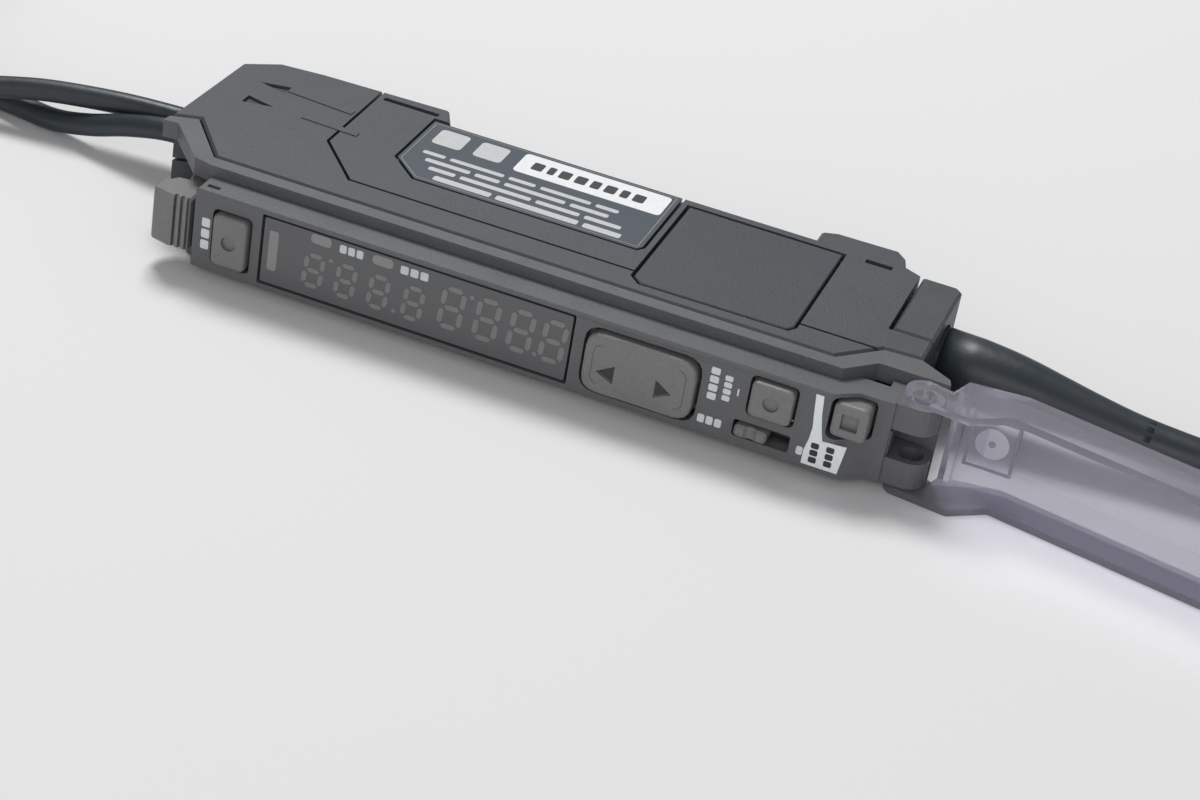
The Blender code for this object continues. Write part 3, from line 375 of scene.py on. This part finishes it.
def uneven_colour(tree, shader, colour, lighter):
    """Colour that shifts a little over the surface, in wide clouds and in fine specks."""
    clouds = tree.nodes.new("ShaderNodeMix")
    clouds.data_type = "RGBA"
    clouds.inputs["A"].default_value = (*colour, 1.0)
    clouds.inputs["B"].default_value = (*lighter, 1.0)
    tree.links.new(spread(tree, noise(tree, 90.0), 0.0, 0.35), clouds.inputs["Factor"])
    specks = tree.nodes.new("ShaderNodeMix")
    specks.data_type = "RGBA"
    specks.inputs["B"].default_value = (*[c * 1.25 for c in lighter], 1.0)
    tree.links.new(spread(tree, noise(tree, 2600.0), 0.0, 0.3), specks.inputs["Factor"])
    tree.links.new(clouds.outputs["Result"], specks.inputs["A"])
    tree.links.new(specks.outputs["Result"], shader.inputs["Base Color"])


def moulded(name, colour, roughness, depth=0.05):
    """A moulded plastic with fine grain and slightly uneven colour and gloss."""
    made, tree, shader = principled(name, colour, roughness)
    uneven_colour(tree, shader, colour, [c * 1.25 for c in colour])
    uneven_gloss(tree, shader, 260.0, roughness - 0.05, roughness + 0.07)
    grain(tree, shader, 5500.0, depth)
    return made


def smooth_plastic(name, colour, roughness):
    made, tree, shader = principled(name, colour, roughness)
    uneven_gloss(tree, shader, 180.0, roughness - 0.04, roughness + 0.05)
    return made


def smoke_plastic(name, colour, clearness):
    """A clear smoke-coloured moulding, which lets tinted light through its shadow."""
    made, tree, shader = principled(name, colour, 0.16)
    shader.inputs["Transmission Weight"].default_value = clearness
    shader.inputs["IOR"].default_value = 1.5
    uneven_gloss(tree, shader, 220.0, 0.04, 0.12)
    through = tree.nodes.new("ShaderNodeBsdfTransparent")
    through.inputs["Color"].default_value = (0.7, 0.69, 0.74, 1.0)
    rays = tree.nodes.new("ShaderNodeLightPath")
    mix = tree.nodes.new("ShaderNodeMixShader")
    tree.links.new(rays.outputs["Is Shadow Ray"], mix.inputs["Fac"])
    tree.links.new(shader.outputs["BSDF"], mix.inputs[1])
    tree.links.new(through.outputs["BSDF"], mix.inputs[2])
    tree.links.new(mix.outputs["Shader"], tree.nodes["Material Output"].inputs["Surface"])
    return made


def printed(name, colour):
    """Print or film: a colour that is all but even."""
    made, tree, shader = principled(name, colour, 0.5)
    uneven_colour(tree, shader, colour, [c * 1.06 for c in colour])
    return made


def jacket(name, colour):
    """A vinyl cord jacket: smooth, with faint waves."""
    made, tree, shader = principled(name, colour, 0.42)
    uneven_gloss(tree, shader, 140.0, 0.36, 0.5)
    grain(tree, shader, 900.0, 0.05)
    return made


def metal(name, colour, roughness):
    made, tree, shader = principled(name, colour, roughness, 1.0)
    uneven_gloss(tree, shader, 400.0, roughness - 0.06, roughness + 0.1)
    return made


def make_looks():
    return {
        "housing": moulded("housing_plastic", (0.05, 0.056, 0.063), 0.46),
        "plate": moulded("plate_plastic", (0.038, 0.045, 0.052), 0.5),
        "panel": moulded("panel_plastic", (0.092, 0.094, 0.1), 0.42, 0.04),
        "window": smooth_plastic("window_plastic", (0.098, 0.1, 0.105), 0.25),
        "dark": smooth_plastic("dark_plastic", (0.02, 0.02, 0.022), 0.4),
        "board": smooth_plastic("board_laminate", (0.03, 0.2, 0.1), 0.5),
        "key": moulded("key_plastic", (0.15, 0.15, 0.15), 0.42, 0.02),
        # Darker key plastic for the painted shadow lines round the rocker's ends
        "key_shadow": moulded("key_shadow_line", (0.09, 0.09, 0.09), 0.5, 0.01),
        "steel": metal("plated_metal", (0.6, 0.6, 0.6), 0.3),
        "tie": smooth_plastic("tie_plastic", (0.03, 0.03, 0.032), 0.4),
        "label": smooth_plastic("label_film", (0.05, 0.066, 0.085), 0.5),
        "cover": smoke_plastic("smoke_cover", (0.64, 0.63, 0.69), 0.88),
        "cover_frost": smoke_plastic("smoke_cover_frost", (0.7, 0.69, 0.75), 0.5),
        "cover_rim": smoke_plastic("smoke_cover_rim", (0.4, 0.4, 0.47), 0.6),
        "jacket": jacket("gland_rubber", (0.03, 0.034, 0.038)),
        "digit": printed("digit_film", (0.175, 0.175, 0.172)),
        "digit_pale": printed("lamp_film", (0.22, 0.22, 0.217)),
        "print": printed("panel_print", (0.6, 0.61, 0.62)),
        "print_dim": printed("window_print", (0.52, 0.53, 0.54)),
        "flag": printed("flag_print", (0.72, 0.75, 0.77)),
        "white": printed("label_white", (0.78, 0.79, 0.8)),
        # Dark ink: real print on the label and flag, and painted shade on the floors of the sunk arrows
        "ink_and_shade": printed("dark_ink_and_shade", (0.025, 0.027, 0.03)),
    }


def make_camera():
    data = bpy.data.cameras.new("camera")
    data.sensor_width = FILM_WIDTH
    data.lens = CAMERA_LENS
    data.clip_start = 0.005
    made = bpy.data.objects.new("camera", data)
    bpy.context.scene.collection.objects.link(made)
    made.location = CAMERA_PLACE
    made.rotation_euler = [math.radians(a) for a in CAMERA_TURN]
    bpy.context.scene.camera = made


def ease(t):
    """A share that starts and stops softly, held between 0 and 1."""
    t = min(max(t, 0.0), 1.0)
    return t * t * (3 - 2 * t)


def hank_spot(turned, radius, run):
    """Along and aside, at a share of a turn: out, round the far fold, back, and round the near fold."""
    part, t = divmod(turned * 4, 1)
    angle = math.pi * t
    if part == 0:
        return run * t, radius
    if part == 1:
        return run + radius * math.sin(angle), radius * math.cos(angle)
    if part == 2:
        return run * (1 - t), -radius
    return -radius * math.sin(angle), -radius * math.cos(angle)


def hank_points(centre, run, diameter, rows, way, side):
    """The turns of a hank: up the outer lane from the floor, across at the top and down the inner lane.

    The far fold lies along way, and the cord comes in on one side. Each turn moves to its next place at
    the same share of its way round as its neighbours do, so they stay a diameter apart.
    """
    cells = [(OUTER_LANE, row) for row in range(rows)] + [(INNER_LANE, row) for row in reversed(range(rows))]
    steps_of_quarters = (STRAIGHT_STEPS, FOLD_STEPS, STRAIGHT_STEPS, FOLD_STEPS)
    shares = [quarter / 4 + k / steps / 4 for quarter, steps in enumerate(steps_of_quarters)
              for k in range(steps)]
    points = []
    for (lane, row), (next_lane, next_row) in zip(cells, cells[1:]):
        start, stop = RISE if next_row > row else CROSSING if next_lane != lane else FALL
        for turned in shares:
            share = ease((turned - start) / (stop - start))
            radius = (lane + (next_lane - lane) * share) * diameter
            level = HANK_BASE + (row + (next_row - row) * share + 0.5) * diameter
            along, aside = hank_spot(turned, radius, run)
            points.append((centre[0] + way * along, centre[1] + side * aside, level))
    points.append((centre[0], centre[1] + side * INNER_LANE * diameter, HANK_BASE + diameter / 2))
    return points


def smooth_points(route, pieces=8):
    """Points on a smooth curve through a route."""
    route = [Vector(point) for point in route]
    padded = [2 * route[0] - route[1]] + route + [2 * route[-1] - route[-2]]
    points = []
    for a, b, c, d in zip(padded, padded[1:], padded[2:], padded[3:]):
        for k in range(pieces):
            t = k / pieces
            points.append(0.5 * (2 * b + (c - a) * t + (2 * a - 5 * b + 4 * c - d) * t ** 2
                                 + (3 * b - a - 3 * c + d) * t ** 3))
    points.append(route[-1])
    return [tuple(point) for point in points]


def run_length(points):
    """Length in metres of a cord through these points."""
    places = [world(*point) for point in points]
    return sum((b - a).length for a, b in zip(places, places[1:]))


def tube(name, points, diameter, look):
    """A round cord through points."""
    curve = bpy.data.curves.new(name, "CURVE")
    curve.dimensions = "3D"
    curve.bevel_depth = diameter / 2 * MM
    curve.bevel_resolution = 5
    curve.use_fill_caps = True
    spline = curve.splines.new("POLY")
    spline.points.add(len(points) - 1)
    for slot, point in zip(spline.points, points):
        slot.co = (*world(*point), 1.0)
    curve.materials.append(look)
    made = bpy.data.objects.new(name, curve)
    bpy.context.scene.collection.objects.link(made)
    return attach(made, "housing")


def make_cores(end, axis, level):
    """The four cores, which fan out from the cable's end and come down to the floor."""
    cores = []
    for number, ((aside, above), fan, colour) in enumerate(zip(CORE_PLACES, CORE_FAN, CORE_COLOURS), 1):
        y, z = axis + aside * CORE_APART, level + above * CORE_APART
        levels = (z - CORE_SAG, CORE_LOW + above * CORE_SAG, CORE_END)
        route = [(end - CORE_HELD, y, z)]
        route += [(end + CORE_LENGTH * along, y + fan * out, low)
                  for (along, out), low in zip(CORE_WAY, levels)]
        core = tube(f"core_wire_{number}", smooth_points(route), CORE_DIAMETER,
                    jacket(f"core_jacket_{number}", colour))
        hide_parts(f"core_{number}")
        cores.append(core)
    return cores


def make_power_cable(look):
    """The cable: its run, its hank, and the bared end in the hank's hole."""
    x, y = CABLE_HANK
    turns = hank_points(CABLE_HANK, CABLE_HANK_RUN, CABLE_DIAMETER, CABLE_HANK_ROWS, 1, 1)
    level = turns[-1][2]
    leave = smooth_points([turns[-1]] + [(x + along, y + aside, level) for along, aside in CABLE_TAIL])
    points = smooth_points(list(CABLE_ROUTE) + [turns[0]]) + turns[1:] + leave[1:]
    cable = tube("cable", points, CABLE_DIAMETER, look)
    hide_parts("power_cable", "power_cable_coil", "power_cable_end")
    cores = make_cores(*points[-1][:2], level)


def make_fibre(number, route, hank, side, look):
    """One fibre: its run, its hank and the short end in its head."""
    x, y = hank
    turns = hank_points(hank, FIBRE_HANK_RUN, FIBRE_DIAMETER, FIBRE_HANK_ROWS, -1, side)
    leave = smooth_points([turns[-1]] + [(x - along, y + side * aside, level)
                                         for along, aside, level in FIBRE_TAIL])
    points = smooth_points(route + [turns[0]]) + turns[1:] + leave[1:]
    fibre = tube(f"fibre_lead_{number}", points, FIBRE_DIAMETER, look)
    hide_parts(f"fibre_{number}", f"fibre_{number}_coil")


def make_sleeve(look):
    """The tapered sleeve on the cable where it leaves the housing."""
    route = [SLEEVE_START] + smooth_points(CABLE_ROUTE)[:SLEEVE_SPOTS]
    total = run_length(route)
    wide, narrow = SLEEVE_RADII
    bm = bmesh.new()
    loops = []
    for i, point in enumerate(route):
        ahead = Vector(route[min(i + 1, len(route) - 1)]) - Vector(route[max(i - 1, 0)])
        side = ahead.cross(Vector((0, 0, 1))).normalized()
        up = side.cross(ahead).normalized()
        radius = wide + (narrow - wide) * ease(run_length(route[:i + 1]) / total)
        loops.append([bm.verts.new(world(*(Vector(point) + side * u + up * v)))
                      for u, v in circle(radius, SLEEVE_SIDES)])
    add_loft(bm, loops, smooth=True)
    return mesh_piece("strain_relief", bm, look, "housing")


def digit(x, level, width, height, stroke):
    """Outlines of the seven bars of one digit, with mitred ends and a slight lean."""
    bars = []
    for across, up, kind in BARS.values():
        middle_x, middle_z = (across - 0.5) * width, (up - 0.5) * height
        half = (width if kind == "flat" else height / 2) / 2 - stroke * BAR_GAP
        thick = stroke / 2
        bar = [(-half, 0), (-half + thick, thick), (half - thick, thick), (half, 0),
               (half - thick, -thick), (-half + thick, -thick)]
        if kind == "tall":
            bar = [(-v, u) for u, v in bar]
        moved = [(middle_x + u, middle_z + v) for u, v in bar]
        bars.append([(x + u + DIGIT_LEAN * v, level + v) for u, v in moved])
    return bars


def make_display(looks):
    """The unlit digits, the indicator bar, the two small lamps and the print, at the window's face."""
    front, back = WINDOW_FACE - PRINT, WINDOW_FACE + PRINT
    digits = []
    for x in SMALL_DIGITS:
        digits += digit(x, **SMALL_SHAPE)
    for x in LARGE_DIGITS:
        digits += digit(x, **LARGE_SHAPE)
    for x, z in POINTS:
        point = rectangle(x - POINT_HALF, x + POINT_HALF, z - POINT_HALF, z + POINT_HALF)
        digits.append(rounded(point, 0.15, 2))
    plates("display_digits", digits, front, back, "Y", looks["digit"])
    plates("indicator_bar", [rounded(rectangle(*INDICATOR), 0.3)], front, back, "Y", looks["digit_pale"])
    lamps = []
    for x, z in SMALL_LAMPS:
        lamp = rectangle(x - LAMP_HALF_X, x + LAMP_HALF_X, z - LAMP_HALF_Z, z + LAMP_HALF_Z)
        lamps.append(rounded(lamp, LAMP_HALF_Z))
    plates("indicator_lamps", lamps, front, back, "Y", looks["digit_pale"])
    plates("window_marks", block_rows(WINDOW_PRINT), front, back, "Y", looks["print_dim"])


def make_panel_marks(looks):
    """Plain blocks where the panel carries its print, and the pale flag with blocks of its own."""
    marks = block_rows(PANEL_PRINT) + [rectangle(*PANEL_TICK)]
    plates("panel_marks", marks, -PRINT, PRINT, "Y", looks["print"])
    plates("preset_flag", [FLAG], -PRINT, PRINT, "Y", looks["flag"])
    plates("flag_marks", block_rows(FLAG_PRINT), -2 * PRINT, -PRINT / 2, "Y", looks["ink_and_shade"])


def make_rocker_marks(looks):
    """Painted shade: dark plates on the floors of the rocker's two sunk arrowheads, and a dark painted
    shadow line round each end.
    """
    x, z = ROCKER_MIDDLE
    floors = [[(tip + way * u, z + v) for u, v in ROCKER_ARROW] for tip, way in ROCKER_ARROWS]
    low, high = (ROCKER_FACE + depth for depth in ROCKER_FLOOR)
    # Dark plates on the arrow floors: painted shade in the recesses
    plates("rocker_arrow_shade", floors, low, high, "Y", looks["ink_and_shade"], "rocker")
    # A dark line round each end: a painted shadow
    lines = []
    for way in (1, -1):
        lines += thin_line([(x + way * u, z + v) for u, v in ROCKER_LINE], LINE_WIDTH)
    low, high = ROCKER_FACE - PRINT_STEP, ROCKER_FACE + PRINT
    plates("rocker_lines", lines, low, high, "Y", looks["key_shadow"], "rocker")


def make_label(looks):
    """The label's white field, and plain shapes where it carries its print."""
    low, high = THICKNESS - PRINT_STEP, THICKNESS + PRINT
    plates("label_field", [rounded(rectangle(*LABEL_FIELD), 0.5)], low, high, "Z", looks["white"])
    plates("label_field_marks", dashes(*FIELD_ROW), low, high + PRINT_STEP, "Z", looks["ink_and_shade"])
    lines = [outline for row in LABEL_ROWS for outline in dashes(*row)]
    lines += [rounded(rectangle(*square), 0.5) for square in LABEL_SQUARES]
    plates("label_lines", lines, low, high, "Z", looks["print_dim"])
    edge = thin_line(LABEL_EDGE, LINE_WIDTH)
    plates("label_edge_line", edge, low, high - PRINT_STEP, "Z", looks["digit_pale"])


def make_relief(looks):
    """Small moulded relief: strips by the fibre bores and ribs at the hinge, with painted shade on the
    floors of the sunk arrows.
    """
    low, high = THICKNESS - 2 * PRINT_STEP, THICKNESS + STRIP_HEIGHT
    plates("fibre_strips", FIBRE_STRIPS, low, high, "Z", looks["housing"])
    # Dark plates on the sunk arrows' floors: painted shade in the recesses
    floors = [[(tip + way * u, y + v) for u, v in SUNK_ARROW] for tip, y, way in SUNK_ARROWS]
    low, high = (THICKNESS - depth for depth in SUNK_FLOOR)
    plates("arrow_shade", floors, low, high, "Z", looks["ink_and_shade"])
    ribs = [rectangle(y, y + RIB_WIDTH, *RIB_SPAN) for y in HINGE_RIBS]
    plates("hinge_ribs", ribs, *RIB_FACES, "X", looks["window"])


def make_cover_detail(looks):
    """The round gate mark on the cover's pad and the raised rim round the pad."""
    disc = circle(GATE_RADIUS, GATE_SIDES, GATE_MIDDLE)
    mark = circle(GATE_RADIUS * GATE_MARK_SHARE, GATE_SIDES, GATE_MIDDLE)
    rim = [rectangle(*side) for side in PAD_RIM]
    plates("gate_disc", [disc], *DISC_LEVELS, "pad", looks["cover_frost"], "cover")
    plates("gate_mark", [mark], *MARK_LEVELS, "pad", looks["cover_rim"], "cover")
    plates("pad_rim", rim, *RIM_LEVELS, "pad", looks["cover_rim"], "cover")


def soften(node):
    """Rounds a node's edges and keeps its flat faces evenly shaded."""
    flat = node.modifiers.new("flat_faces", "DECIMATE")
    flat.decimate_type = "DISSOLVE"
    flat.angle_limit = math.radians(FLAT_ANGLE)
    bevel = node.modifiers.new("edges", "BEVEL")
    bevel.width = EDGE_RADIUS * MM
    bevel.segments = 3
    bevel.limit_method = "ANGLE"
    bevel.angle_limit = math.radians(BEVEL_ANGLE)
    split = node.modifiers.new("flat_shading", "EDGE_SPLIT")
    split.split_angle = math.radians(SPLIT_ANGLE)
    shade = node.modifiers.new("even_shading", "WEIGHTED_NORMAL")
    shade.weight = 100
    shade.keep_sharp = True


def finish_nodes(nodes, looks):
    """Gives every node of the frame that isn't replaced its look and soft edges."""
    for look, names in NODE_LOOKS.items():
        for name in names:
            node = nodes[name]
            node.data.materials.clear()
            node.data.materials.append(looks[look])
            soften(node)


def make_floor():
    bpy.ops.mesh.primitive_plane_add(size=FLOOR_SIDE_M)
    floor = bpy.context.object
    floor.name = "floor"
    look = principled("floor_paper", PAPER, 0.85)[0]
    floor.data.materials.append(look)


def area_light(name, place_m, side_m, power):
    """A square lamp that is aimed at the origin."""
    data = bpy.data.lights.new(name, "AREA")
    data.size = side_m
    data.energy = power
    made = bpy.data.objects.new(name, data)
    bpy.context.scene.collection.objects.link(made)
    made.location = place_m
    made.rotation_euler = (-Vector(place_m)).to_track_quat("-Z", "Y").to_euler()


def make_light():
    studio = bpy.data.worlds.new("studio")
    bpy.context.scene.world = studio
    studio.use_nodes = True
    background = studio.node_tree.nodes["Background"]
    background.inputs["Color"].default_value = (*SKY_COLOUR, 1.0)
    background.inputs["Strength"].default_value = SKY_STRENGTH
    for name, (place_m, side_m, power) in LAMPS.items():
        area_light(name, place_m, side_m, power)
    bpy.context.scene.view_settings.view_transform = "Standard"


def main():
    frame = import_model()
    nodes = frame["nodes"]
    make_camera()
    cable_look = jacket("cable_jacket", (0.022, 0.03, 0.036))
    make_power_cable(cable_look)
    for number, (route, hank, side) in enumerate(zip(FIBRE_ROUTES, FIBRE_HANKS, FIBRE_SIDES), 1):
        make_fibre(number, route, hank, side, cable_look)
    looks = make_looks()
    finish_nodes(nodes, looks)
    make_display(looks)
    make_panel_marks(looks)
    make_rocker_marks(looks)
    make_label(looks)
    make_relief(looks)
    make_cover_detail(looks)
    make_sleeve(cable_look)
    make_floor()
    make_light()


main()
